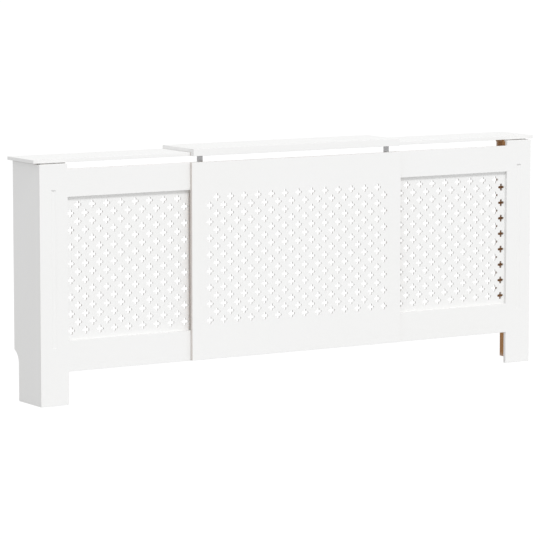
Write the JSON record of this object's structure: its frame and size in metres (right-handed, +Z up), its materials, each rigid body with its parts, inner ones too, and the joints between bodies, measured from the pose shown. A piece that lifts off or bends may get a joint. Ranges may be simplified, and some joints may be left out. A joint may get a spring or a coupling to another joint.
{
  "type": "radiator cover cabinet",
  "caption": "White board cabinet that hides a wall radiator, with cross-pierced front, heat slot, overhanging top and end sections that slide into a middle sleeve.",
  "frame": {"origin": "middle of the bounding box's footprint, on the floor that the cabinet stands on", "axes": "+X along the length to the viewer's right when facing the front, -Y to the room, +Y to the wall, +Z up"},
  "size_m": [2.0326, 0.2106, 0.835],
  "materials": {
    "white_board": "satin white lacquer on fibreboard, raw brown on the back faces",
    "raw_board": "raw sawn fibreboard",
    "raw_batten": "planed softwood, unfinished",
    "zinc_steel": "zinc plated steel"
  },
  "bodies": {
    "middle": {"middle_front_panel": "white_board", "middle_left_strip": "white_board", "middle_right_strip": "white_board", "middle_top_strip": "white_board", "middle_bottom_strip": "white_board", "middle_top_board": "white_board", "middle_top_lip": "white_board", "upper_guide_rail": "raw_board", "lower_guide_rail": "raw_board", "upper_guide_spacer": "raw_board", "lower_guide_spacer": "raw_board", "guide_rail_screws": "zinc_steel", "left_lip_strap": "zinc_steel", "right_lip_strap": "zinc_steel", "strap_screws": "zinc_steel"},
    "left_end": {"left_side_panel": "white_board", "left_front_frame": "white_board", "left_grille": "white_board", "left_grille_staples": "zinc_steel", "left_top_board": "white_board", "left_corner_batten": "raw_batten", "left_side_cleat": "raw_batten", "left_rear_rail": "raw_batten", "left_top_block": "raw_board", "left_carcass_screws": "zinc_steel", "left_wall_angle": "zinc_steel", "left_wall_angle_screws": "zinc_steel"},
    "right_end": {"right_side_panel": "white_board", "right_front_frame": "white_board", "right_grille": "white_board", "right_grille_staples": "zinc_steel", "right_top_board": "white_board", "right_corner_batten": "raw_batten", "right_side_cleat": "raw_batten", "right_rear_rail": "raw_batten", "right_top_block": "raw_board", "right_carcass_screws": "zinc_steel", "right_wall_angle": "zinc_steel", "right_wall_angle_screws": "zinc_steel"}
  },
  "joints": [
    {"name": "left_end_slide", "type": "slide", "parent": "middle", "child": "left_end", "axis": [1, 0, 0], "range_m": [0, 0.33]},
    {"name": "right_end_slide", "type": "slide", "parent": "middle", "child": "right_end", "axis": [-1, 0, 0], "range_m": [0, 0.33]}
  ]
}
